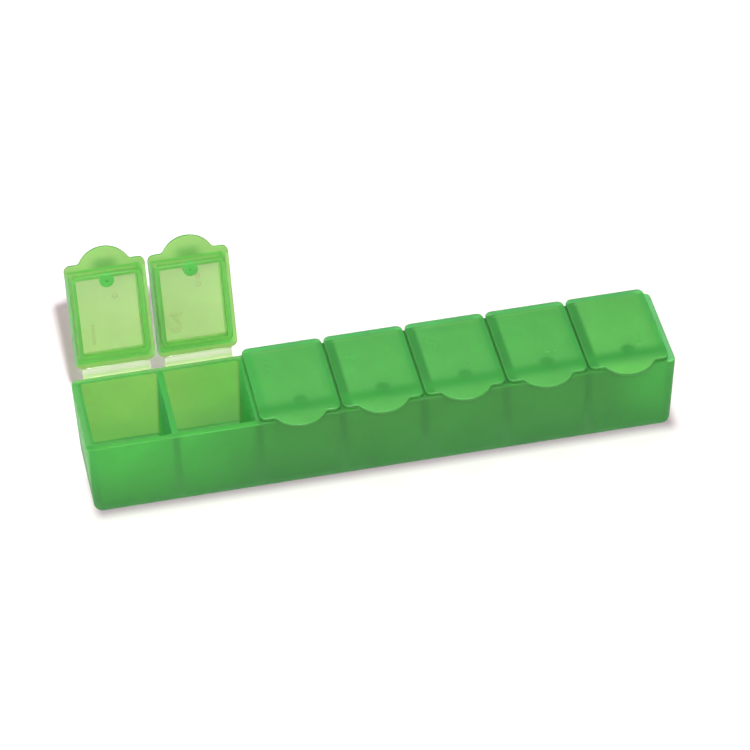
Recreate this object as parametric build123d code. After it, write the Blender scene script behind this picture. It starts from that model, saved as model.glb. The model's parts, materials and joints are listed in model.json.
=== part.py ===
from build123d import *
import math
import os

# Weekly pill organizer: one tray of seven compartments, each with its own
# flip-up lid held by a thin moulded hinge web along the back rim.
# X runs along the row, left to right as seen from the front.
# The front faces -Y, the hinges are at +Y, and Z is up.
# The origin is the middle of the tray's underside. All sizes are millimetres.

# Overall sizes of the tray
compartments = 7
pitch = 21.5
end_margin = 1.4
tray_length = compartments * pitch + 2 * end_margin
tray_depth = 28.1
tray_height = 22.6

# Outer shell of the tray
draft_inset = 0.8
rim_band = 1.6
shell_corner = 1.5
foot_corner = 2.4
foot_radius = 2.2
rim_radius = 0.3

# Walls and compartments
front_wall = 1.6
back_wall = 1.7
divider_wall = 1.5
floor_thickness = 1.7
pocket_inset = 0.6
pocket_corner = 0.6
floor_radius = 0.5

# Lids
lid_gap = 0.6
lid_width = pitch - lid_gap
lid_thickness = 1.0
lid_seat_gap = 0.05
lid_front_setback = 0.5
lid_rear_overhang = 1.0
lid_front_corner = 1.7
lid_rear_corner = 1.8
lid_edge_radius = 0.25
lid_edge_chamfer = 0.15

# Lift tab on the front edge of each lid
tab_radius = 7.2
tab_reach = 4.2
tab_blend = 1.0

# Plug frame under each lid
plug_height = 2.5
plug_wall = 1.4
plug_side_clearance = 0.6
plug_rear_clearance = 0.3
plug_front_border = 2.1
plug_corner = 1.3
plug_draft = 0.25
plug_chamfer = 0.3
hollow_corner = 0.3
boss_radius = 1.9
boss_reach = 2.5
dimple_radius = 0.45
dimple_depth = 0.5
cut_overrun = 1.0

# Hinge webs
web_width = 17.6
web_thickness = 0.4
web_crease_depth = 0.12
web_length = 3.5
web_drop = 0.45
web_droop = 35.0
web_steps = 12
pivot_back = 1.87
pivot_up = 1.21

# Search for the web's curve: shortest and longest handle, and how many halvings
shortest_reach = 0.05
longest_reach = 6.0
reach_halvings = 40

# Angle of each lid in the photographed pose, from closed
lid_angles = [106.5, 105.0, 0.0, 0.0, 0.0, 0.0, 0.0]

# Positions that follow from the sizes above
front_y = -tray_depth / 2
back_y = tray_depth / 2
pivot_y = back_y + pivot_back
pivot_z = tray_height + pivot_up
pocket_length = pitch - divider_wall
pocket_depth = tray_depth - front_wall - back_wall
pocket_y = (front_wall - back_wall) / 2
lid_front = front_y + lid_front_setback
lid_rear = back_y + lid_rear_overhang
lid_bottom = tray_height + lid_seat_gap
lid_middle = lid_bottom + lid_thickness / 2
centres = [(i - (compartments - 1) / 2) * pitch for i in range(compartments)]

os.makedirs("parts", exist_ok=True)


def box_sketch(width, depth, radius, y, z):
    """A rounded rectangle lying flat at height z, centred on X = 0."""
    return Plane.XY.offset(z) * Pos(0, y) * RectangleRounded(width, depth, radius)


def make_tray():
    """The drafted outer shell with its seven scooped compartments."""
    shoulder = tray_height - rim_band
    foot = box_sketch(tray_length - 2 * draft_inset, tray_depth - 2 * draft_inset,
                      foot_corner, 0, 0)
    mouth = box_sketch(tray_length, tray_depth, shell_corner, 0, shoulder)
    body = loft([foot, mouth]) + extrude(mouth, rim_band)
    body = fillet(body.edges().group_by(Axis.Z)[0], foot_radius)
    body = fillet(body.edges().group_by(Axis.Z)[-1], rim_radius)
    floor = box_sketch(pocket_length - 2 * pocket_inset, pocket_depth - 2 * pocket_inset,
                       pocket_corner, pocket_y, floor_thickness)
    top = box_sketch(pocket_length, pocket_depth, pocket_corner, pocket_y, tray_height)
    pocket = loft([floor, top])
    pocket = fillet(pocket.edges().group_by(Axis.Z)[0], floor_radius)
    for x in centres:
        body -= Pos(x, 0, 0) * pocket
    return body


def lid_outline():
    """Flat outline of a lid: rounded back corners and the half-round lift tab."""
    half = lid_width / 2
    fr = lid_front_corner
    rr = lid_rear_corner
    tab_centre = lid_front - tab_reach + tab_radius
    drop = tab_centre - lid_front + tab_blend
    blend_x = math.sqrt((tab_radius + tab_blend) ** 2 - drop ** 2)
    share = tab_radius / (tab_radius + tab_blend)
    join_x = blend_x * share
    join_y = tab_centre - drop * share
    lean = math.atan2(blend_x, drop) / 2
    blend_mid = (blend_x - tab_blend * math.sin(lean),
                 lid_front - tab_blend + tab_blend * math.cos(lean))
    s = math.sqrt(0.5)
    rear_mid = (half - rr + rr * s, lid_rear - rr + rr * s)
    front_mid = (half - fr + fr * s, lid_front + fr - fr * s)
    edges = [Line((-half + rr, lid_rear), (half - rr, lid_rear))]
    for side in (1, -1):
        edges += [
            ThreePointArc((side * (half - rr), lid_rear), (side * rear_mid[0], rear_mid[1]),
                          (side * half, lid_rear - rr)),
            Line((side * half, lid_rear - rr), (side * half, lid_front + fr)),
            ThreePointArc((side * half, lid_front + fr), (side * front_mid[0], front_mid[1]),
                          (side * (half - fr), lid_front)),
            Line((side * (half - fr), lid_front), (side * blend_x, lid_front)),
            ThreePointArc((side * blend_x, lid_front), (side * blend_mid[0], blend_mid[1]),
                          (side * join_x, join_y)),
        ]
    edges.append(ThreePointArc((-join_x, join_y), (0, tab_centre - tab_radius),
                               (join_x, join_y)))
    return make_face(Wire(edges))


def make_lid():
    """One closed lid: plate and tab, hollow plug frame, latch boss and its dimple."""
    plate = extrude(Plane.XY.offset(lid_bottom) * lid_outline(), lid_thickness)
    plate = fillet(plate.edges().group_by(Axis.Z)[-1], lid_edge_radius)
    plate = chamfer(plate.edges().group_by(Axis.Z)[0], lid_edge_chamfer)
    plug_width = pocket_length - 2 * plug_side_clearance
    plug_rear = back_y - back_wall - plug_rear_clearance
    plug_front = lid_front + plug_front_border
    plug_depth = plug_rear - plug_front
    plug_y = (plug_rear + plug_front) / 2
    tip = lid_bottom - plug_height
    outer = loft([
        box_sketch(plug_width, plug_depth, plug_corner, plug_y, lid_middle),
        box_sketch(plug_width - 2 * plug_draft, plug_depth - 2 * plug_draft,
                   plug_corner, plug_y, tip)])
    outer = chamfer(outer.edges().group_by(Axis.Z)[0], plug_chamfer)
    hollow_width = plug_width - 2 * plug_wall
    hollow_depth = plug_depth - 2 * plug_wall
    hollow = extrude(box_sketch(hollow_width, hollow_depth, hollow_corner, plug_y,
                                tip - cut_overrun), plug_height + cut_overrun)
    hollow_front = plug_y - hollow_depth / 2
    boss_y = hollow_front + boss_reach - boss_radius
    boss = Pos(0, boss_y, (tip + lid_bottom) / 2) * Cylinder(boss_radius, plug_height)
    dimple = Pos(0, boss_y, tip) * Cylinder(dimple_radius, 2 * dimple_depth)
    hollow -= boss
    lid = plate + (outer - hollow)
    return lid - dimple


def turn_back(point, angle):
    """A (y, z) point of a closed lid after the lid opens by the angle in degrees."""
    a = math.radians(angle)
    y = point[0] - pivot_y
    z = point[1] - pivot_z
    return (pivot_y + y * math.cos(a) + z * math.sin(a),
            pivot_z - y * math.sin(a) + z * math.cos(a))


def web_path(angle, reach):
    """Points (y, z) and normals along the web from the rim to the lid's back edge."""
    a = math.radians(angle)
    start = (back_y, tray_height - web_drop)
    end = turn_back((lid_rear, lid_middle), angle)
    droop = math.radians(web_droop)
    lean = a + droop
    near = (start[0] + reach * math.cos(droop), start[1] - reach * math.sin(droop))
    far = (end[0] + reach * math.cos(lean), end[1] - reach * math.sin(lean))
    rows = []
    for i in range(web_steps + 1):
        t = i / web_steps
        u = 1 - t
        b = (u ** 3, 3 * u * u * t, 3 * u * t * t, t ** 3)
        d = (3 * u * u, 6 * u * t, 3 * t * t)
        y = b[0] * start[0] + b[1] * near[0] + b[2] * far[0] + b[3] * end[0]
        z = b[0] * start[1] + b[1] * near[1] + b[2] * far[1] + b[3] * end[1]
        dy = d[0] * (near[0] - start[0]) + d[1] * (far[0] - near[0]) + d[2] * (end[0] - far[0])
        dz = d[0] * (near[1] - start[1]) + d[1] * (far[1] - near[1]) + d[2] * (end[1] - far[1])
        size = math.hypot(dy, dz)
        rows.append((y, z, -dz / size, dy / size))
    rows[0] = (*start, 0.0, 1.0)
    rows[-1] = (*end, -math.sin(a), -math.cos(a))
    return rows


def path_length(rows):
    """Length along a list of path points."""
    return sum(math.dist(p[:2], q[:2]) for p, q in zip(rows, rows[1:]))


def make_web(angle):
    """A thin hinge web of fixed length, creased across its middle."""
    low = shortest_reach
    high = longest_reach
    for _ in range(reach_halvings):
        reach = (low + high) / 2
        if path_length(web_path(angle, reach)) < web_length:
            low = reach
        else:
            high = reach
    rows = web_path(angle, reach)
    middle = len(rows) // 2
    outer = []
    inner = []
    for i, (y, z, ny, nz) in enumerate(rows):
        half = web_thickness / 2
        notch = web_crease_depth if i == middle else 0
        outer.append((y + ny * (half - notch), z + nz * (half - notch)))
        inner.append((y - ny * half, z - nz * half))
    section = Plane.YZ * make_face(Polyline(outer + inner[::-1] + outer[:1]))
    return extrude(section, web_width / 2, both=True)


tray = make_tray()
lid = make_lid()
hinge_axis = Axis((0, pivot_y, pivot_z), (1, 0, 0))

export_step(tray, "parts/tray.step")
for number, (x, angle) in enumerate(zip(centres, lid_angles), start=1):
    placed_lid = Pos(x, 0, 0) * lid.rotate(hinge_axis, -angle)
    placed_web = Pos(x, 0, 0) * make_web(angle)
    export_step(placed_lid, f"parts/lid_{number}.step")
    export_step(placed_web, f"parts/hinge_web_{number}.step")
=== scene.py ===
import json
import math

import bpy
from mathutils import Matrix, Vector


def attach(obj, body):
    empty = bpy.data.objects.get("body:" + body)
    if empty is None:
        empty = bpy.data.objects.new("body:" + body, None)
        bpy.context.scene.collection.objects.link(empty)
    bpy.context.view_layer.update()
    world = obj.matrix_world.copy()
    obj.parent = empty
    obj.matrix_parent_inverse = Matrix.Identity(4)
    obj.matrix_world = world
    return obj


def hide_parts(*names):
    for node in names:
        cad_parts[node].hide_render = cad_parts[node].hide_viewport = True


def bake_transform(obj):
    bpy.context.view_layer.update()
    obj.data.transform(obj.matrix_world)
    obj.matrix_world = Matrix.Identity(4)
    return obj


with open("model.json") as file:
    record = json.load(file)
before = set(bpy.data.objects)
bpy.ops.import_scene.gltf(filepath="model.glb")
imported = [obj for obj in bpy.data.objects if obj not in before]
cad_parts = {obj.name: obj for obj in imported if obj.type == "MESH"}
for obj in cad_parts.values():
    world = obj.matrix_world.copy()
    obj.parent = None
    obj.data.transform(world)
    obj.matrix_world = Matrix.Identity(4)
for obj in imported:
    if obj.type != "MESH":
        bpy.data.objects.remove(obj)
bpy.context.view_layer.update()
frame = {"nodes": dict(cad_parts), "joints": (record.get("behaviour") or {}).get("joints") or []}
nodes = frame["nodes"]

# Weekly pill organizer in translucent green plastic. All sizes are metres, in the CAD frame:
# X along the row, the front at -Y, the hinges at +Y and Z up.
mm = 0.001
last_lid = 7
lid_numbers = range(1, last_lid + 1)
first_closed = 3

# Camera
camera_turn = math.radians(-10.24)
camera_rise = math.radians(40.37)
camera_roll = math.radians(-2.08)
camera_distance = 1.08487
camera_aim_up = 0.0160
camera_aim_right = -0.00019
camera_reach = 20.0
photo_width = 750
focal_pixels = 4162.25
sensor_width = 36.0

# Lights. The key is in three parts: two for the plastic, and a higher one for the floor
key_turn = math.radians(-2.9)
key_distance = 2.2
key_size = 0.06
key_power = 17.1
key_on_plastic_rise = math.radians(41.5)
key_on_plastic_power = 36.1
key_on_floor_rise = math.radians(47.3)
key_on_floor_size = 0.10
key_on_floor_power = 70.0
overhead_place = (0.0, 0.20, 0.93)
overhead_size = 0.3
overhead_on_plastic_power = 4.9
overhead_on_floor_power = 2.6
overhead_on_floor_colour = (1.0, 0.45, 0.77)
rear_place = (-0.45, 0.72, 0.46)
rear_size = 0.3
rear_power = 1.0
side_place = (-0.30, -0.06, 0.10)
side_size = 0.12
side_power = 0.30
white = (1.0, 1.0, 1.0)
world_strength = 0.12

# Tray, as in the CAD model
pitch = 21.5 * mm
end_margin = 1.4 * mm
row_half_length = last_lid * pitch / 2 + end_margin
middle_lid = (1 + last_lid) / 2
first_covered_x = (first_closed - middle_lid - 0.5) * pitch
last_covered_x = 74.0 * mm
tray_depth = 28.1 * mm
rim_y = tray_depth / 2
front_wall = 1.6 * mm
back_wall = 1.7 * mm
pocket_half_depth = (tray_depth - front_wall - back_wall) / 2
divider_wall = 1.5 * mm
divider_half = divider_wall / 2
floor_top = 1.7 * mm
tray_top = 22.6 * mm

# Lids, as in the CAD model
lid_gap = 0.6 * mm
lid_thickness = 1.0 * mm
lid_seat_gap = 0.05 * mm
lid_front_setback = 0.5 * mm
lid_rear_overhang = 1.0 * mm
lid_half_width = (pitch - lid_gap) / 2
lid_bottom = tray_top + lid_seat_gap
lid_top = lid_bottom + lid_thickness
lid_front = lid_front_setback - rim_y
lid_rear = rim_y + lid_rear_overhang

# Plug frame under each lid, the panel inside it and the boss, as in the CAD model
plug_height = 2.5 * mm
plug_wall = 1.4 * mm
plug_side_clearance = 0.6 * mm
plug_rear_clearance = 0.3 * mm
plug_front_border = 2.1 * mm
plug_half_width = (pitch - divider_wall) / 2 - plug_side_clearance
plug_front = lid_front + plug_front_border
plug_rear = rim_y - back_wall - plug_rear_clearance
plug_tip = lid_bottom - plug_height
panel_half_width = plug_half_width - plug_wall
panel_front = plug_front + plug_wall
panel_rear = plug_rear - plug_wall
boss_radius = 1.9 * mm
boss_reach = 2.5 * mm
boss_place = (0.0, panel_front + boss_reach - boss_radius)

# Hinges and their webs, as in the CAD model
pivot_back = 1.87 * mm
pivot_up = 1.21 * mm
pivot_y = rim_y + pivot_back
pivot_z = tray_top + pivot_up
web_drop = 0.45 * mm
web_start_z = tray_top - web_drop
web_width = 17.6 * mm
web_thickness = 0.4 * mm
web_length = 3.5 * mm
web_droop = math.radians(35.0)

# Finer shape of the webs, and the search for the handle length of their curve
web_rows = 24
web_columns = 8
web_edge_radius = 0.08 * mm
web_edge_steps = 2
crease_middle = 0.5
crease_depth = 0.07 * mm
crease_share = 0.03
shortest_reach = 0.05 * mm
longest_reach = 6.0 * mm
reach_halvings = 30

# Raised marks on the lids: a plain numeral and the same number in six-dot cells
numeral_size = 8.0 * mm
numeral_x = -4.8 * mm
numeral_y = 5.7 * mm
numeral_relief = 0.03 * mm
numeral_drop = 0.05 * mm
numeral_edge = 0.05 * mm
numeral_edge_steps = 1
dot_pitch = 2.5 * mm
dot_radius = 0.70 * mm
dot_length = 1.17 * mm
dot_sides = 24
dot_rise = 0.05 * mm
dot_round = 0.07 * mm
dot_round_steps = 4
dot_smooth_angle = math.radians(40.0)
ring_wall = 0.22 * mm
ring_depth = 0.16 * mm
cell_x = 1.8 * mm
cell_y = -4.0 * mm
cells = {1: [(0, 0)], 2: [(0, 0), (0, 1)], 3: [(0, 0), (1, 0)], 4: [(0, 0), (1, 0), (1, 1)],
         5: [(0, 0), (1, 1)], 6: [(0, 0), (0, 1), (1, 0)], 7: [(0, 0), (0, 1), (1, 0), (1, 1)]}
mark_shade = 0.86

# Plastics: how much light they let through, their coat, refraction, roughness and scatter
tray_clearness = 0.45
tray_coat = 0.05
tray_refraction = 1.4
tray_roughness = 0.55
tray_scatter = (0.5, 2.0, 0.4)
tray_scatter_depth = 1.0 * mm
lid_clearness = 0.60
lid_coat = 0.06
lid_refraction = 1.35
lid_roughness = 0.46
lid_scatter = (0.5, 1.0, 0.4)
lid_scatter_depth = 1.6 * mm
web_clearness = 0.35
web_coat = 0.15
web_refraction = 1.4
web_roughness = 0.36
coat_roughness = 0.12

# Moulded grain on all the plastics: the noises, and how much each one changes the surface
grain_scales = {"Mottle": 90.0, "Gloss": 260.0, "Height": 2600.0}
grain_detail = 2.0
noise_low = 0.3
noise_high = 0.7
mottle_low = 0.95
mottle_high = 1.05
gloss_swing = 0.05
bump_strength = 0.25
bump_height = 0.02 * mm

# Floor: its size and roughness, its colours as seen, and the one that lights the plastic
floor_size = 4.0
paper_roughness = 0.9
paper_seen = (0.84, 0.80, 0.79)
far_paper_seen = (0.97, 0.95, 0.95)
# Painted contact shadow: the paper's colour in a strip along the tray's front foot
painted_contact_shadow_paper = (0.365, 0.295, 0.335)
paper_bounce = (0.70, 0.67, 0.68)

# Colours of a lid seen from below, when it is open. They are paler than the outer colours, partly
# for the thin plastic and partly as painted backlight
panel_under = (0.635, 0.69, 0.350)
# Painted shade: the panel darker towards its front end, which is the top of an open lid. The same
# colour is painted as a pale line on the plug's tip at the panel's front edge, where it stands for
# the panel's edge and hides the wall's shadow.
panel_front_painted_shade_under = (0.570, 0.61, 0.335)
plug_under = (0.174, 0.515, 0.088)
# Painted light on the two sides of the plug frame under an open lid
left_plug_painted_light_under = (0.265, 0.52, 0.195)
right_plug_painted_light_under = (0.345, 0.62, 0.175)
# Painted light on the plug frame near the plate, lifting the shade where the frame meets the plate
plug_root_painted_light_under = (0.41, 0.56, 0.20)
# Painted shade on the chamfer at the plug's tip, toning down its highlight
plug_edge_painted_shade_under = (0.165, 0.45, 0.088)
boss_under = (0.123, 0.545, 0.098)
flange_under = (0.42, 0.62, 0.225)
# Painted shade on the flange's left side, and painted light on its right side
left_flange_painted_shade_under = (0.37, 0.55, 0.33)
right_flange_painted_light_under = (0.52, 0.74, 0.260)
rear_flange_under = (0.415, 0.545, 0.152)
tab_under = (0.385, 0.545, 0.188)
# Painted shade in the middle of the tab
tab_middle_painted_shade_under = (0.182, 0.377, 0.093)
# Painted shade on the side edges of the lids, which also darkens the slots between the closed lids
edge_painted_shade_green = (0.07, 0.36, 0.075)

# Colours of a lid seen from above, when it is closed
panel_outer = (0.152, 0.650, 0.148)
# Painted light: the last lid's panel is lighter
last_panel_painted_light_outer = (0.179, 0.695, 0.156)
plate_outer = (0.155, 0.690, 0.150)
# Painted shade on the side borders of a lid, and painted light on the outer side of the closed lids
# at the two ends
left_side_painted_shade_outer = (0.078, 0.450, 0.091)
right_side_painted_shade_outer = (0.096, 0.570, 0.120)
lit_side_outer = (0.114, 0.64, 0.133)
boss_outer = (0.083, 0.500, 0.095)
front_band_outer = (0.078, 0.535, 0.094)
tab_outer = (0.172, 0.655, 0.155)
# Painted light: the last lid's tab is lighter
last_tab_painted_light_outer = (0.220, 0.770, 0.172)
rear_band_outer = (0.158, 0.720, 0.220)
rear_line_outer = (0.250, 0.700, 0.180)
# Painted shade on each lid's left edge and front bevel, toning down their highlights
left_edge_painted_shade_outer = (0.108, 0.510, 0.113)
bevel_painted_shade_outer = (0.115, 0.52, 0.120)

# Colours of the tray
front_green = (0.0415, 0.264, 0.0435)
# Painted shade: the front wall darker towards the bottom
front_low_painted_shade_green = (0.0385, 0.241, 0.047)
front_glow_green = (0.055, 0.438, 0.066)
line_green = (0.037, 0.258, 0.040)
rim_green = (0.138, 0.47, 0.125)
# Painted shade on the front rim, toning down its highlight
front_rim_painted_shade_green = (0.060, 0.42, 0.062)
# Painted light on the rim at the right end
right_rim_painted_light_green = (0.205, 0.685, 0.25)
inner_rim_green = (0.060, 0.46, 0.075)
# Painted shade on the rim under the closed lids, and on the rim's front edge, where it tones down
# the highlight. The ledge in front of the closed lids is painted lighter, lifting that shade.
covered_rim_painted_shade_green = (0.046, 0.29, 0.048)
rim_edge_painted_shade_green = (0.035, 0.22, 0.037)
open_rim_edge_painted_shade_green = (0.055, 0.37, 0.057)
ledge_painted_light_green = (0.052, 0.35, 0.054)
# Painted light: the back rim paler and yellower
back_rim_painted_light_green = (0.275, 0.62, 0.200)
# Painted light on the left end face
end_painted_light_green = (0.150, 0.645, 0.157)
# Painted light and shade on the divider faces: lighter in the second pocket and towards the foot
divider_green = (0.068, 0.58, 0.188)
second_divider_painted_light_green = (0.100, 0.755, 0.190)
divider_foot_painted_light_green = (0.140, 0.81, 0.200)
# Painted shade at the foot of the compartments
foot_painted_shade_green = (0.09, 0.42, 0.08)
# Painted light on the long walls inside the compartments, standing for light through the thin
# plastic; darker in the second pocket, with painted shade towards the bottom
wall_painted_light_green = (0.380, 0.645, 0.173)
second_wall_painted_light_green = (0.292, 0.65, 0.154)
low_wall_painted_shade_green = (0.27, 0.54, 0.148)
second_low_wall_painted_shade_green = (0.212, 0.45, 0.140)

# Colours of the hinge webs
web_pale = (0.64, 0.70, 0.51)
web_green = (0.56, 0.68, 0.365)
web_root_green = (0.25, 0.42, 0.130)
# Painted shade along the web's crease
crease_painted_shade_green = (0.40, 0.74, 0.24)

# In the zones below, a fade says where a mask is 0 and where it is 1. A span has a mask of 1
# between its two ends, and soft says how far its sides fade either way.

# Zones of the floor: the paper near the tray, and the painted contact shadow along its front foot
near_paper_span = (-75.0 * mm, 65.0 * mm)
near_paper_soft = 15.0 * mm
painted_contact_shadow_span = (-75.5 * mm, 77.0 * mm)
painted_contact_shadow_soft = 2.0 * mm
painted_contact_shadow_front_fade = (-17.0 * mm, -11.5 * mm)
painted_contact_shadow_rear_fade = (5.0 * mm, 0.0)

# Zones under a lid, in the closed lid's own frame
zone_soft = 0.12 * mm
plug_fade = (plug_half_width + zone_soft, plug_half_width - zone_soft)
plug_span = (plug_front, plug_rear)
plug_root_side_fade = (8.9 * mm, 6.8 * mm)
plug_root_up_fade = (lid_bottom - 1.8 * mm, lid_bottom - 0.2 * mm)
plug_edge_span = (plug_tip + 0.06 * mm, plug_tip + 0.30 * mm)
plug_edge_soft = 0.03 * mm
plug_shade_middle = 0.825 * mm
plug_shade_end_fade = (13.15 * mm, 12.80 * mm)
plug_shade_side_fade = (lid_half_width - 0.5 * mm, plug_half_width)
plug_left_fade = (-panel_half_width - 0.3 * mm, -plug_half_width - 0.2 * mm)
plug_right_fade = (8.5 * mm, 9.2 * mm)
panel_width_span = (-panel_half_width, 7.45 * mm)
panel_length_span = (panel_front, panel_rear)
panel_up_fade = (lid_bottom - 0.30 * mm, lid_bottom - 0.10 * mm)
panel_front_fade = (4.0 * mm, panel_front)
panel_lip_span = (panel_front - 0.20 * mm, panel_front + 0.20 * mm)
panel_lip_up_fade = (plug_tip + 0.20 * mm, plug_tip + 0.05 * mm)
boss_fade = (boss_radius + zone_soft, boss_radius - zone_soft)
front_flange_fade = (plug_front + 0.2 * mm, plug_front - 0.1 * mm)
rear_flange_fade = (13.65 * mm, 14.0 * mm)
tab_middle_side_fade = (4.8 * mm, 1.0 * mm)
tab_middle_front_fade = (-16.0 * mm, -13.4 * mm)

# Zones on a lid's outer face and edges, in the same frame
seen_boss_place = (0.9 * mm, -8.1 * mm)
seen_boss_fade = (boss_radius + 0.8 * mm, boss_radius - 0.9 * mm)
outer_fade = (lid_bottom + 0.16 * mm, lid_bottom + 0.30 * mm)
edge_span = (lid_bottom + 0.16 * mm, lid_top - 0.30 * mm)
edge_soft = 0.04 * mm
left_edge_fade = (-lid_half_width + 0.35 * mm, -lid_half_width + 0.10 * mm)
bevel_up_fade = (lid_top - 0.03 * mm, lid_top - 0.08 * mm)
bevel_front_fade = (plug_front, lid_front)
tab_fade = (lid_front + 1.0 * mm, lid_front - 1.8 * mm)
left_side_fade = (-6.9 * mm, -8.6 * mm)
right_side_fade = (7.8 * mm, 9.9 * mm)
soft_panel_left_fade = (-8.6 * mm, -6.9 * mm)
soft_panel_right_fade = (9.6 * mm, 7.8 * mm)
front_band_rear_fade = (-6.9 * mm, -10.1 * mm)
front_band_front_fade = (-13.7 * mm, -10.3 * mm)
rear_band_fade = (13.0 * mm, 13.5 * mm)
rear_line_span = (12.2 * mm, 12.7 * mm)
rear_line_soft = 0.3 * mm
rear_line_side_fade = (9.4 * mm, 7.5 * mm)

# Zones of the tray's rim
rim_fade = (tray_top - 0.5 * mm, tray_top - 0.1 * mm)
front_rim_fade = (-pocket_half_depth + 0.6 * mm, -pocket_half_depth - 0.2 * mm)
back_rim_fade = (pocket_half_depth + 0.2 * mm, pocket_half_depth + 0.6 * mm)
right_rim_fade = (last_covered_x, last_covered_x + 1.0 * mm)
inner_rim_depth_fade = (pocket_half_depth + 0.2 * mm, pocket_half_depth - 0.6 * mm)
inner_rim_side_fade = (pitch / 2 - 1.6 * mm, pitch / 2 - 1.0 * mm)
covered_rim_span = (first_covered_x, last_covered_x)
covered_rim_soft = 0.6 * mm
ledge_fade = (-12.9 * mm, -13.3 * mm)

# Zones of the tray's compartments
ends_fade = (row_half_length - 1.3 * mm, row_half_length - 1.5 * mm)
pocket_depth_fade = (pocket_half_depth + 0.35 * mm, pocket_half_depth + 0.15 * mm)
pocket_up_fade = (floor_top - 0.4 * mm, floor_top + 0.1 * mm)
pocket_wall_fade = (pocket_half_depth - 1.6 * mm, pocket_half_depth - 1.0 * mm)
divider_top_fade = (3.0 * mm, 15.0 * mm)
low_wall_fade = (14.0 * mm, 1.0 * mm)
foot_fade = (floor_top + 1.1 * mm, floor_top + 0.7 * mm)
second_pocket_fade = (-54.0 * mm, -36.0 * mm)

# Zones on the tray's outside
low_fade = (20.0 * mm, 3.0 * mm)
left_end_fade = (-row_half_length + 0.7 * mm, -row_half_length + 0.3 * mm)
left_glow_fade = (-18.0 * mm, -66.0 * mm)
left_glow_up_fade = (-2.0 * mm, tray_top)
right_glow_fade = (54.0 * mm, 80.0 * mm)
right_glow_up_fade = (-8.0 * mm, tray_top)
rim_edge_fade = (-13.75 * mm, -13.90 * mm)
rim_edge_up_fade = (tray_top - 0.45 * mm, tray_top - 0.30 * mm)
divider_line_ends_fade = (70.0 * mm, 68.0 * mm)
divider_line_fade = (pitch / 2 - divider_half - 0.5 * mm, pitch / 2 - divider_half + 0.3 * mm)
divider_line_strength = 0.5

# Zones of a web, as shares of its length from the tray
web_pale_fade = (0.44, 0.58)
web_root_fade = (0.84, 0.93)
crease_span = (0.47, 0.53)
crease_soft = 0.02


# Parts of the shaders
def feed(tree, slot, value):
    """Ties a socket to the slot, or sets the slot to a number or a colour."""
    if isinstance(value, bpy.types.NodeSocket):
        tree.links.new(value, slot)
    elif isinstance(value, tuple):
        slot.default_value = (*value, 1.0)
    else:
        slot.default_value = value


def split(tree, vector):
    """The X, Y and Z of a vector socket."""
    node = tree.nodes.new("ShaderNodeSeparateXYZ")
    tree.links.new(vector, node.inputs[0])
    return node.outputs


def add_math(tree, operation, *values):
    """A Math node on sockets or numbers, giving its output socket."""
    node = tree.nodes.new("ShaderNodeMath")
    node.operation = operation
    for slot, value in zip(node.inputs, values):
        feed(tree, slot, value)
    return node.outputs[0]


def ramp(tree, value, fade):
    """A smooth mask that is 0 at the start of the fade and 1 at its end."""
    node = tree.nodes.new("ShaderNodeMapRange")
    node.interpolation_type = "SMOOTHSTEP"
    tree.links.new(value, node.inputs["Value"])
    node.inputs["From Min"].default_value = fade[0]
    node.inputs["From Max"].default_value = fade[1]
    return node.outputs["Result"]


def both(tree, *masks):
    """The part that all the masks share."""
    shared = masks[0]
    for mask in masks[1:]:
        shared = add_math(tree, "MULTIPLY", shared, mask)
    return shared


def window(tree, value, span, soft):
    """A mask that is 1 between the two ends of the span, with soft sides."""
    low, high = span
    return both(tree, ramp(tree, value, (low - soft, low + soft)),
                ramp(tree, value, (high + soft, high - soft)))


def lay_colour(tree, below, above, mask):
    """The colour above laid over the colour below where the mask is 1."""
    node = tree.nodes.new("ShaderNodeMix")
    node.data_type = "RGBA"
    tree.links.new(mask, node.inputs["Factor"])
    feed(tree, node.inputs["A"], below)
    feed(tree, node.inputs["B"], above)
    return node.outputs["Result"]


def paint(tree, zones, colour, layers):
    """A colour with others laid over it in turn, each one in its own zone."""
    for zone, above in layers.items():
        colour = lay_colour(tree, colour, above, zones[zone])
    return colour


def scale_colour(tree, colour, factor):
    """A colour made darker or lighter by a factor."""
    node = tree.nodes.new("ShaderNodeVectorMath")
    node.operation = "SCALE"
    tree.links.new(colour, node.inputs[0])
    feed(tree, node.inputs["Scale"], factor)
    return node.outputs[0]


def spread(tree, value, low, high):
    """A noise value spread evenly from low to high."""
    node = tree.nodes.new("ShaderNodeMapRange")
    tree.links.new(value, node.inputs["Value"])
    node.inputs["From Min"].default_value = noise_low
    node.inputs["From Max"].default_value = noise_high
    node.inputs["To Min"].default_value = low
    node.inputs["To Max"].default_value = high
    return node.outputs["Result"]


# Groups that the materials share
def new_group(name):
    """A node group, with the socket of the place that it reads."""
    group = bpy.data.node_groups.new(name, "ShaderNodeTree")
    group.interface.new_socket("Place", in_out="INPUT", socket_type="NodeSocketVector")
    return group, group.nodes.new("NodeGroupInput").outputs["Place"]


def close_group(group, results):
    """Gives the group an output for each of the named masks or values."""
    for label in results:
        group.interface.new_socket(label, in_out="OUTPUT", socket_type="NodeSocketFloat")
    end = group.nodes.new("NodeGroupOutput")
    for label, result in results.items():
        group.links.new(result, end.inputs[label])
    return group


def make_grain_group():
    """Moulded surface: a faint mottle, a fine spark-eroded bump and uneven gloss."""
    group, place = new_group("moulded grain")
    noises = {}
    for label, scale in grain_scales.items():
        noise = group.nodes.new("ShaderNodeTexNoise")
        noise.inputs["Scale"].default_value = scale
        noise.inputs["Detail"].default_value = grain_detail
        group.links.new(place, noise.inputs["Vector"])
        noises[label] = noise.outputs["Fac"]
    return close_group(group, noises)


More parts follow.
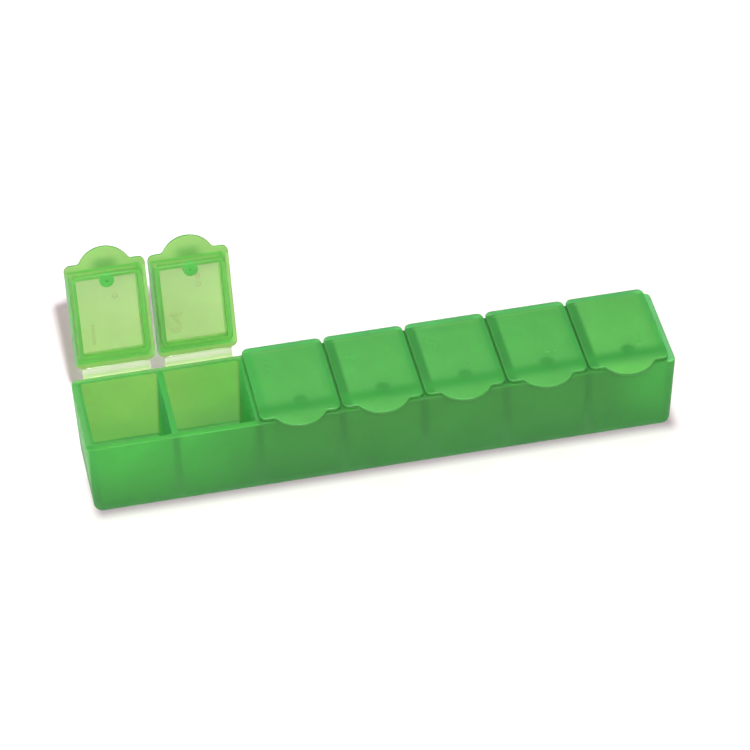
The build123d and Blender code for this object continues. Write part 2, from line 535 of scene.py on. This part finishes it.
def make_zone_group(name, *mask_makers):
    """The masks of a piece's parts, from a place in the piece's own frame."""
    group, place = new_group(name)
    x, y, z = split(group, place)
    masks = {}
    for make_masks in mask_makers:
        masks.update(make_masks(group, x, y, z))
    return close_group(group, masks)


def boss_distance(group, x, y, centre):
    """Distance from the middle of the latch boss."""
    beside = add_math(group, "SUBTRACT", x, centre[0])
    behind = add_math(group, "SUBTRACT", y, centre[1])
    return add_math(group, "SQRT", add_math(group, "ADD",
                                            add_math(group, "MULTIPLY", beside, beside),
                                            add_math(group, "MULTIPLY", behind, behind)))


def plug_masks(group, x, y, z):
    """The plug frame under a lid, and the shade that it throws on the plate round it."""
    across = add_math(group, "ABSOLUTE", x)
    from_middle = add_math(group, "ABSOLUTE", add_math(group, "SUBTRACT", y, plug_shade_middle))
    return {
        "Plug": both(group, ramp(group, across, plug_fade),
                     window(group, y, plug_span, zone_soft)),
        "Plug root": both(group, ramp(group, z, plug_root_up_fade),
                          ramp(group, x, plug_root_side_fade)),
        "Plug edge": window(group, z, plug_edge_span, plug_edge_soft),
        "Plug shade": both(group, ramp(group, from_middle, plug_shade_end_fade),
                           ramp(group, across, plug_shade_side_fade)),
        "Plug left": ramp(group, x, plug_left_fade),
        "Plug right": ramp(group, x, plug_right_fade),
    }


def under_masks(group, x, y, z):
    """The panel inside the plug frame, the boss, and the plate and tab round the frame."""
    across = add_math(group, "ABSOLUTE", x)
    panel_width = window(group, x, panel_width_span, zone_soft)
    return {
        "Panel": both(group, panel_width, window(group, y, panel_length_span, zone_soft),
                      ramp(group, z, panel_up_fade)),
        "Panel front": ramp(group, y, panel_front_fade),
        "Panel lip": both(group, ramp(group, z, panel_lip_up_fade), panel_width,
                          window(group, y, panel_lip_span, zone_soft)),
        "Boss": ramp(group, boss_distance(group, x, y, boss_place), boss_fade),
        "Front flange": ramp(group, y, front_flange_fade),
        "Rear flange": ramp(group, y, rear_flange_fade),
        "Tab middle": both(group, ramp(group, across, tab_middle_side_fade),
                           ramp(group, y, tab_middle_front_fade)),
    }


def outer_masks(group, x, y, z):
    """A lid's edges and outer face, with what shows softly through it from below."""
    across = add_math(group, "ABSOLUTE", x)
    return {
        "Outer": ramp(group, z, outer_fade),
        "Edge": window(group, z, edge_span, edge_soft),
        "Left edge": ramp(group, x, left_edge_fade),
        "Bevel": both(group, ramp(group, z, bevel_up_fade), ramp(group, y, bevel_front_fade)),
        "Tab": ramp(group, y, tab_fade),
        "Left side": ramp(group, x, left_side_fade),
        "Right side": ramp(group, x, right_side_fade),
        "Soft panel": both(group, ramp(group, x, soft_panel_left_fade),
                           ramp(group, x, soft_panel_right_fade)),
        "Soft boss": ramp(group, boss_distance(group, x, y, seen_boss_place), seen_boss_fade),
        "Front band": both(group, ramp(group, y, front_band_rear_fade),
                           ramp(group, y, front_band_front_fade)),
        "Rear band": ramp(group, y, rear_band_fade),
        "Rear line": both(group, window(group, y, rear_line_span, rear_line_soft),
                          ramp(group, across, rear_line_side_fade)),
    }


def from_pocket_middle(group, x):
    """Distance along the row from the middle of the nearest compartment."""
    return add_math(group, "ABSOLUTE", add_math(group, "WRAP", x, -pitch / 2, pitch / 2))


def between_ends(group, x):
    """The tray without its two end walls."""
    return ramp(group, add_math(group, "ABSOLUTE", x), ends_fade)


def rim_masks(group, x, y, z):
    """The tray's rim: its sides, its inner edge and what the closed lids cover."""
    rim = ramp(group, z, rim_fade)
    depth = add_math(group, "ABSOLUTE", y)
    return {
        "Rim": rim,
        "Front rim": both(group, rim, ramp(group, y, front_rim_fade)),
        "Back rim": both(group, rim, ramp(group, y, back_rim_fade)),
        "Right rim": both(group, rim, ramp(group, x, right_rim_fade)),
        "Inner rim": both(group, rim, between_ends(group, x),
                          ramp(group, depth, inner_rim_depth_fade),
                          ramp(group, from_pocket_middle(group, x), inner_rim_side_fade)),
        "Covered rim": both(group, rim, window(group, x, covered_rim_span, covered_rim_soft)),
        "Ledge": ramp(group, y, ledge_fade),
    }


def pocket_masks(group, x, y, z):
    """The compartments: their dividers, their long walls and the foot of both."""
    depth = add_math(group, "ABSOLUTE", y)
    inside = both(group, between_ends(group, x), ramp(group, depth, pocket_depth_fade),
                  ramp(group, z, pocket_up_fade))
    return {
        "Divider": inside,
        "Divider top": ramp(group, z, divider_top_fade),
        "Pocket wall": both(group, inside, ramp(group, depth, pocket_wall_fade)),
        "Low wall": ramp(group, z, low_wall_fade),
        "Foot": both(group, inside, ramp(group, z, foot_fade)),
        "Second pocket": ramp(group, x, second_pocket_fade),
    }


def outside_masks(group, x, y, z):
    """The tray's outside: its low part, glowing ends, rim edge and lines at the dividers."""
    along = add_math(group, "ABSOLUTE", x)
    return {
        "Low": ramp(group, z, low_fade),
        "Left end": ramp(group, x, left_end_fade),
        "Left glow": both(group, ramp(group, x, left_glow_fade),
                          ramp(group, z, left_glow_up_fade)),
        "Right glow": both(group, ramp(group, x, right_glow_fade),
                           ramp(group, z, right_glow_up_fade)),
        "Rim edge": both(group, ramp(group, z, rim_edge_up_fade), ramp(group, y, rim_edge_fade)),
        "Divider line": both(group, ramp(group, along, divider_line_ends_fade),
                             ramp(group, from_pocket_middle(group, x), divider_line_fade),
                             divider_line_strength),
    }


# What the materials have in common
def start_material(name):
    """A material with its shader, and the place on the object that its patterns follow."""
    material = bpy.data.materials.new(name)
    material.use_nodes = True
    tree = material.node_tree
    place = tree.nodes.new("ShaderNodeTexCoord").outputs["Object"]
    return material, tree, tree.nodes["Principled BSDF"], place


def use_group(tree, group, place):
    """A copy of a shared group that reads the given place."""
    node = tree.nodes.new("ShaderNodeGroup")
    node.node_tree = group
    tree.links.new(place, node.inputs["Place"])
    return node.outputs


def set_plastic(shader, clearness, coat, refraction):
    """The even values of the shader that all the plastics share."""
    shader.inputs["Transmission Weight"].default_value = clearness
    shader.inputs["Coat Weight"].default_value = coat
    shader.inputs["Coat Roughness"].default_value = coat_roughness
    shader.inputs["IOR"].default_value = refraction


def set_scatter(shader, radius, depth):
    """Light that spreads below the surface, further in green."""
    shader.inputs["Subsurface Weight"].default_value = 1.0
    shader.inputs["Subsurface Radius"].default_value = radius
    shader.inputs["Subsurface Scale"].default_value = depth


def finish_surface(tree, shader, colour, grain, roughness):
    """Ties the colour, its mottle, the roughness and the bump to the shader."""
    mottle = spread(tree, grain["Mottle"], mottle_low, mottle_high)
    gloss = spread(tree, grain["Gloss"], roughness - gloss_swing, roughness + gloss_swing)
    bump = tree.nodes.new("ShaderNodeBump")
    bump.inputs["Strength"].default_value = bump_strength
    bump.inputs["Distance"].default_value = bump_height
    tree.links.new(grain["Height"], bump.inputs["Height"])
    tree.links.new(scale_colour(tree, colour, mottle), shader.inputs["Base Color"])
    tree.links.new(gloss, shader.inputs["Roughness"])
    tree.links.new(bump.outputs["Normal"], shader.inputs["Normal"])


# Material of the floor
def floor_paper():
    """Pale matt paper, whiter far from the tray, with a painted contact shadow along the tray's
    front foot.

    Where the camera doesn't see it straight, it has the colour that lights the plastic.
    """
    material, tree, shader, place = start_material("floor_paper")
    seen = tree.nodes.new("ShaderNodeLightPath").outputs["Is Camera Ray"]
    along, depth, _ = split(tree, place)
    near = window(tree, depth, near_paper_span, near_paper_soft)
    # Painted contact shadow along the tray's front foot
    painted_contact_shadow = both(tree, ramp(tree, depth, painted_contact_shadow_front_fade),
                   ramp(tree, depth, painted_contact_shadow_rear_fade),
                   window(tree, along, painted_contact_shadow_span, painted_contact_shadow_soft))
    colour = lay_colour(tree, far_paper_seen, paper_seen, near)
    colour = lay_colour(tree, colour, painted_contact_shadow_paper, painted_contact_shadow)
    colour = lay_colour(tree, paper_bounce, colour, seen)
    tree.links.new(colour, shader.inputs["Base Color"])
    shader.inputs["Roughness"].default_value = paper_roughness
    return material


# Material of the tray
def pocket_colours(tree, zones):
    """The painted light and shade of the dividers and of the long walls, which differ in the second
    pocket.
    """
    divider = paint(tree, zones, divider_green, {"Second pocket": second_divider_painted_light_green})
    divider = paint(tree, zones, divider_foot_painted_light_green, {"Divider top": divider})
    low_wall = paint(tree, zones, low_wall_painted_shade_green, {"Second pocket": second_low_wall_painted_shade_green})
    wall = paint(tree, zones, wall_painted_light_green, {"Second pocket": second_wall_painted_light_green,
                                           "Low wall": low_wall})
    return divider, wall


def tray_colour(tree, zones):
    """The tray's greens, from the outside in and then up to the rim, many of them painted light and
    shade.
    """
    divider, wall = pocket_colours(tree, zones)
    return paint(tree, zones, front_green, {
        "Low": front_low_painted_shade_green,
        "Left glow": front_glow_green,
        "Right glow": front_glow_green,
        "Divider line": line_green,
        "Left end": end_painted_light_green,
        "Divider": divider,
        "Pocket wall": wall,
        "Foot": foot_painted_shade_green,
        "Rim": rim_green,
        "Back rim": back_rim_painted_light_green,
        "Front rim": front_rim_painted_shade_green,
        "Inner rim": inner_rim_green,
        "Covered rim": paint(tree, zones, covered_rim_painted_shade_green, {"Ledge": ledge_painted_light_green}),
        "Rim edge": paint(tree, zones, open_rim_edge_painted_shade_green, {"Covered rim": rim_edge_painted_shade_green}),
        "Right rim": right_rim_painted_light_green,
    })


def tray_plastic(groups):
    """Milky green plastic of the tray, with painted light where its thin walls would be lit from
    behind.
    """
    material, tree, shader, place = start_material("tray_green_plastic")
    colour = tray_colour(tree, use_group(tree, groups["tray"], place))
    set_plastic(shader, tray_clearness, tray_coat, tray_refraction)
    set_scatter(shader, tray_scatter, tray_scatter_depth)
    finish_surface(tree, shader, colour, use_group(tree, groups["grain"], place), tray_roughness)
    return material


# Material of the lids
def closed_place(tree, place, number):
    """The place that a point of a lid has in the closed lid's own frame."""
    angle = lid_angle(number)
    axis = Vector((0.0, pivot_y, pivot_z))
    shift = axis - Matrix.Rotation(angle, 3, "X") @ axis
    mapping = tree.nodes.new("ShaderNodeMapping")
    mapping.inputs["Location"].default_value = (-lid_centre(number), shift.y, shift.z)
    mapping.inputs["Rotation"].default_value = (angle, 0.0, 0.0)
    tree.links.new(place, mapping.inputs["Vector"])
    return mapping.outputs["Vector"]


def under_colour(tree, zones):
    """The greens of a lid's underside, from the plate down to the plug frame and the boss, with
    painted light and shade in several zones.
    """
    return paint(tree, zones, flange_under, {
        "Left side": left_flange_painted_shade_under,
        "Right side": right_flange_painted_light_under,
        "Rear flange": rear_flange_under,
        "Front flange": paint(tree, zones, tab_under, {"Tab middle": tab_middle_painted_shade_under}),
        "Plug shade": paint(tree, zones, plug_under, {"Plug right": right_plug_painted_light_under}),
        "Plug": paint(tree, zones, plug_under, {
            "Plug left": left_plug_painted_light_under,
            "Plug right": right_plug_painted_light_under,
            "Plug root": plug_root_painted_light_under,
            "Plug edge": plug_edge_painted_shade_under,
        }),
        "Panel": paint(tree, zones, panel_under, {"Panel front": panel_front_painted_shade_under}),
        "Panel lip": panel_front_painted_shade_under,
        "Boss": boss_under,
    })


def outer_colour(tree, zones, number):
    """The greens of a lid's outer face, with painted shade on its side borders and painted light on
    the outer sides of the closed lids at the ends.
    """
    last = number == last_lid
    return paint(tree, zones, plate_outer, {
        "Left side": lit_side_outer if number == first_closed else left_side_painted_shade_outer,
        "Right side": lit_side_outer if last else right_side_painted_shade_outer,
        "Soft panel": last_panel_painted_light_outer if last else panel_outer,
        "Rear band": rear_band_outer,
        "Rear line": rear_line_outer,
        "Front band": front_band_outer,
        "Tab": last_tab_painted_light_outer if last else tab_outer,
        "Soft boss": boss_outer,
        "Bevel": bevel_painted_shade_outer,
        "Left edge": left_edge_painted_shade_outer,
    })


def lid_plastic(groups, name, number, shade=1.0):
    """Clearer green plastic of one lid. The shade darkens its underside."""
    material, tree, shader, place = start_material(name)
    place = closed_place(tree, place, number)
    zones = use_group(tree, groups["lid"], place)
    colour = paint(tree, zones, scale_colour(tree, under_colour(tree, zones), shade), {
        "Outer": outer_colour(tree, zones, number),
        "Edge": edge_painted_shade_green,
    })
    set_plastic(shader, lid_clearness, lid_coat, lid_refraction)
    set_scatter(shader, lid_scatter, lid_scatter_depth)
    finish_surface(tree, shader, colour, use_group(tree, groups["grain"], place), lid_roughness)
    return material


# Material of the hinge webs
def web_plastic(groups):
    """Thin pale plastic of the webs, paler past the crease and greener at the lid, with painted
    shade along the crease.
    """
    material, tree, shader, place = start_material("hinge_web_pale_plastic")
    along = split(tree, tree.nodes.new("ShaderNodeTexCoord").outputs["UV"])[1]
    colour = lay_colour(tree, web_green, web_pale, ramp(tree, along, web_pale_fade))
    colour = lay_colour(tree, colour, crease_painted_shade_green, window(tree, along, crease_span, crease_soft))
    colour = lay_colour(tree, colour, web_root_green, ramp(tree, along, web_root_fade))
    set_plastic(shader, web_clearness, web_coat, web_refraction)
    finish_surface(tree, shader, colour, use_group(tree, groups["grain"], place), web_roughness)
    return material


def dress_nodes(groups):
    """The better materials on the CAD nodes that stay."""
    tray = tray_plastic(groups)
    for slot in nodes["tray"].material_slots:
        slot.material = tray
    for number in lid_numbers:
        lid = lid_plastic(groups, f"lid_{number}_green_plastic", number)
        for slot in nodes[f"lid_{number}"].material_slots:
            slot.material = lid


# Where the lids are
def lid_angle(number):
    """How far a lid is open at rest, from its joint's range."""
    joint = next(j for j in frame["joints"] if j["name"] == f"lid_{number}_hinge")
    return -math.radians(joint["range_deg"][0])


def lid_centre(number):
    """The middle of a lid along the row."""
    return (number - middle_lid) * pitch


def opened(number):
    """The turn that carries a piece from the closed lid to where the lid is."""
    axis = Matrix.Translation((lid_centre(number), pivot_y, pivot_z))
    back = Matrix.Translation((0.0, -pivot_y, -pivot_z))
    return axis @ Matrix.Rotation(-lid_angle(number), 4, "X") @ back


# Hinge webs
def web_row(angle, reach, t):
    """A point (y, z) and the outward normal, a share t of the way along an open web."""
    lean = angle + web_droop
    start = Vector((rim_y, web_start_z))
    y = lid_rear - pivot_y
    z = (lid_bottom + lid_top) / 2 - pivot_z
    end = Vector((pivot_y + y * math.cos(angle) + z * math.sin(angle),
                  pivot_z - y * math.sin(angle) + z * math.cos(angle)))
    near = start + reach * Vector((math.cos(web_droop), -math.sin(web_droop)))
    far = end + reach * Vector((math.cos(lean), -math.sin(lean)))
    u = 1.0 - t
    point = u ** 3 * start + 3 * u * u * t * near + 3 * u * t * t * far + t ** 3 * end
    along = u * u * (near - start) + 2 * u * t * (far - near) + t * t * (end - far)
    along.normalize()
    return point, Vector((-along.y, along.x))


def web_reach(angle):
    """The handle length that gives the web its moulded length."""
    low = shortest_reach
    high = longest_reach
    for _ in range(reach_halvings):
        reach = (low + high) / 2
        points = [web_row(angle, reach, i / web_rows)[0] for i in range(web_rows + 1)]
        if sum((b - a).length for a, b in zip(points, points[1:])) < web_length:
            low = reach
        else:
            high = reach
    return reach


def bend_web(web, number):
    """Lays a flat grid along the web's curve, with a crease across its middle.

    The grid is 1 m square, so that t goes from 0 at the tray's rim to 1 at the lid.
    """
    angle = lid_angle(number)
    reach = web_reach(angle)
    for vertex in web.data.vertices:
        t = vertex.co.y + 0.5
        point, normal = web_row(angle, reach, t)
        dip = crease_depth * math.exp(-((t - crease_middle) / crease_share) ** 2)
        point = point - normal * dip
        vertex.co = (lid_centre(number) + vertex.co.x * web_width, point.x, point.y)


def thicken_web(web):
    """Gives a web its thickness and softens its edges."""
    thicken = web.modifiers.new("thickness", "SOLIDIFY")
    thicken.thickness = web_thickness
    thicken.offset = 0.0
    soften = web.modifiers.new("edges", "BEVEL")
    soften.width = web_edge_radius
    soften.segments = web_edge_steps
    soften.limit_method = "ANGLE"
    for modifier in ("thickness", "edges"):
        bpy.ops.object.modifier_apply(modifier=modifier)
    bpy.ops.object.shade_smooth()


def add_web(number, material):
    """A creased strip from the tray's rim to the back edge of one lid."""
    bpy.ops.object.select_all(action="DESELECT")
    bpy.ops.mesh.primitive_grid_add(x_subdivisions=web_columns, y_subdivisions=web_rows, size=1.0)
    web = bpy.context.active_object
    web.name = f"web_strip_{number}"
    bend_web(web, number)
    thicken_web(web)
    web.data.materials.append(material)
    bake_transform(web)
    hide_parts(f"hinge_web_{number}")


# Raised marks
def settle(piece, turn):
    """Moves a piece's place into its mesh, so that its object stays at the origin."""
    piece.data.transform(turn @ piece.matrix_world)
    piece.matrix_world = Matrix.Identity(4)


def finish_mark(mark, number, material):
    """A raised mark's material, its place on the lid and the lid it rides on."""
    settle(mark, opened(number))
    mark.data.materials.clear()
    mark.data.materials.append(material)
    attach(mark, f"lid_{number}")


def add_numeral(number, material):
    """A plain numeral, raised on the lid's outer face and just proud of its underside."""
    bpy.ops.object.select_all(action="DESELECT")
    bpy.ops.object.text_add(location=(numeral_x, numeral_y,
                                      (lid_bottom + lid_top) / 2 - numeral_drop))
    numeral = bpy.context.active_object
    numeral.name = f"numeral_{number}"
    numeral.data.body = str(number)
    numeral.data.size = numeral_size
    numeral.data.align_x = "CENTER"
    numeral.data.align_y = "CENTER"
    numeral.data.extrude = (lid_top - lid_bottom) / 2 + numeral_relief
    numeral.data.bevel_depth = numeral_edge
    numeral.data.bevel_resolution = numeral_edge_steps
    bpy.ops.object.convert(target="MESH")
    finish_mark(numeral, number, material)


def select_end(dot, side):
    """Selects the flat face at one end of a dot: 1 for the top, -1 for the bottom."""
    bpy.ops.object.mode_set(mode="EDIT")
    bpy.ops.mesh.select_all(action="DESELECT")
    bpy.ops.object.mode_set(mode="OBJECT")
    corners = dot.data.vertices
    for corner in corners:
        corner.select = corner.co.z * side > 0.0
    for part in [*dot.data.edges, *dot.data.polygons]:
        part.select = all(corners[i].select for i in part.vertices)
    bpy.ops.object.mode_set(mode="EDIT")


def round_dot(dot):
    """Domes the top of a dot, and sinks its underside into a shallow ring."""
    select_end(dot, 1)
    bpy.ops.mesh.bevel(offset=dot_round, segments=dot_round_steps)
    bpy.ops.object.mode_set(mode="OBJECT")
    select_end(dot, -1)
    bpy.ops.mesh.inset(thickness=ring_wall)
    bpy.ops.transform.translate(value=(0.0, 0.0, ring_depth))
    bpy.ops.object.mode_set(mode="OBJECT")


def add_cell(number, material):
    """The raised dots of a lid's number, in the cell's places."""
    bpy.ops.object.select_all(action="DESELECT")
    dots = []
    for column, row in cells[number]:
        bpy.ops.mesh.primitive_cylinder_add(
            vertices=dot_sides, radius=dot_radius, depth=dot_length,
            location=(cell_x + column * dot_pitch, cell_y - row * dot_pitch,
                      lid_top + dot_rise - dot_length / 2))
        dot = bpy.context.active_object
        round_dot(dot)
        dots.append(dot)
    for dot in dots:
        dot.select_set(True)
    bpy.ops.object.join()
    cell = bpy.context.active_object
    cell.name = f"dots_{number}"
    bpy.ops.object.shade_smooth_by_angle(angle=dot_smooth_angle)
    finish_mark(cell, number, material)


# Camera and studio
def place_round(turn, rise, distance):
    """A place round the origin: its turn from the front, rise above the floor and distance."""
    return Vector((distance * math.sin(turn) * math.cos(rise),
                   -distance * math.cos(turn) * math.cos(rise),
                   distance * math.sin(rise)))


def add_camera():
    """The camera at the photograph's place, aimed near the middle of the row."""
    back = place_round(camera_turn, camera_rise, 1.0)
    level = Vector((math.cos(camera_turn), math.sin(camera_turn), 0.0))
    rise = back.cross(level)
    right = level * math.cos(camera_roll) + rise * math.sin(camera_roll)
    up = rise * math.cos(camera_roll) - level * math.sin(camera_roll)
    place = back * camera_distance + up * camera_aim_up + right * camera_aim_right
    data = bpy.data.cameras.new("camera")
    data.sensor_width = sensor_width
    data.lens = focal_pixels / photo_width * sensor_width
    data.clip_end = camera_reach
    camera = bpy.data.objects.new("camera", data)
    bpy.context.scene.collection.objects.link(camera)
    turn = Matrix((right, up, back)).transposed()
    camera.matrix_world = Matrix.Translation(place) @ turn.to_4x4()
    bpy.context.scene.camera = camera


def add_light(name, place, size, power, colour=white):
    """A square soft light that faces the object."""
    data = bpy.data.lights.new(name, "AREA")
    data.shape = "SQUARE"
    data.size = size
    data.energy = power
    data.color = colour
    lamp = bpy.data.objects.new(name, data)
    bpy.context.scene.collection.objects.link(lamp)
    lamp.location = place
    lamp.rotation_euler = (-Vector(place)).to_track_quat("-Z", "Y").to_euler()
    return lamp


def link_light(lamp, piece, state):
    """Lights only the piece when the state is INCLUDE, and all but the piece when EXCLUDE."""
    receivers = bpy.data.collections.new(f"{lamp.name}_receivers")
    receivers.objects.link(piece)
    receivers.collection_objects[0].light_linking.link_state = state
    lamp.light_linking.receiver_collection = receivers


def block_light(lamp, pieces):
    """Lets the given pieces alone block a lamp."""
    blockers = bpy.data.collections.new(f"{lamp.name}_blockers")
    for piece in pieces:
        blockers.objects.link(piece)
    lamp.light_linking.blocker_collection = blockers


def add_floor():
    """The pale floor that the object stands on."""
    bpy.ops.object.select_all(action="DESELECT")
    bpy.ops.mesh.primitive_plane_add(size=floor_size)
    floor = bpy.context.active_object
    floor.name = "floor"
    floor.data.materials.append(floor_paper())
    return floor


def add_key(floor):
    """The key light in front of the object, in three parts.

    Milky plastic lets much of the key through, so only the closed lids block the second part,
    and only the lids block the part for the floor.
    """
    lids = [nodes[f"lid_{number}"] for number in lid_numbers]
    place = place_round(key_turn, key_on_plastic_rise, key_distance)
    floor_place = place_round(key_turn, key_on_floor_rise, key_distance)
    key = add_light("key", place, key_size, key_power)
    on_plastic = add_light("key_on_plastic", place, key_size, key_on_plastic_power)
    on_floor = add_light("key_on_floor", floor_place, key_on_floor_size, key_on_floor_power)
    link_light(key, floor, "EXCLUDE")
    link_light(on_plastic, floor, "EXCLUDE")
    link_light(on_floor, floor, "INCLUDE")
    block_light(on_plastic, lids[first_closed - 1:])
    block_light(on_floor, lids)


def add_soft_lights(floor):
    """Softer lights overhead, at the back and at the left. The overhead one is pink on the floor."""
    on_plastic = add_light("overhead_on_plastic", overhead_place, overhead_size,
                           overhead_on_plastic_power)
    on_floor = add_light("overhead_on_floor", overhead_place, overhead_size,
                         overhead_on_floor_power, overhead_on_floor_colour)
    add_light("rear_left", rear_place, rear_size, rear_power)
    side = add_light("side_left", side_place, side_size, side_power)
    link_light(on_plastic, floor, "EXCLUDE")
    link_light(on_floor, floor, "INCLUDE")
    link_light(side, floor, "EXCLUDE")


def add_world():
    """An even, faint white light from all sides."""
    world = bpy.data.worlds.new("studio")
    world.use_nodes = True
    background = world.node_tree.nodes["Background"]
    background.inputs["Color"].default_value = (*white, 1.0)
    background.inputs["Strength"].default_value = world_strength
    bpy.context.scene.world = world


add_camera()
floor = add_floor()
add_key(floor)
add_soft_lights(floor)
add_world()
groups = {"grain": make_grain_group(),
          "lid": make_zone_group("lid zones", plug_masks, under_masks, outer_masks),
          "tray": make_zone_group("tray zones", rim_masks, pocket_masks, outside_masks)}
dress_nodes(groups)
web_material = web_plastic(groups)
for number in lid_numbers:
    add_web(number, web_material)
    mark_material = lid_plastic(groups, f"lid_{number}_raised_mark_plastic", number, mark_shade)
    add_numeral(number, mark_material)
    add_cell(number, mark_material)

view = bpy.context.scene.view_settings
view.view_transform = "Standard"
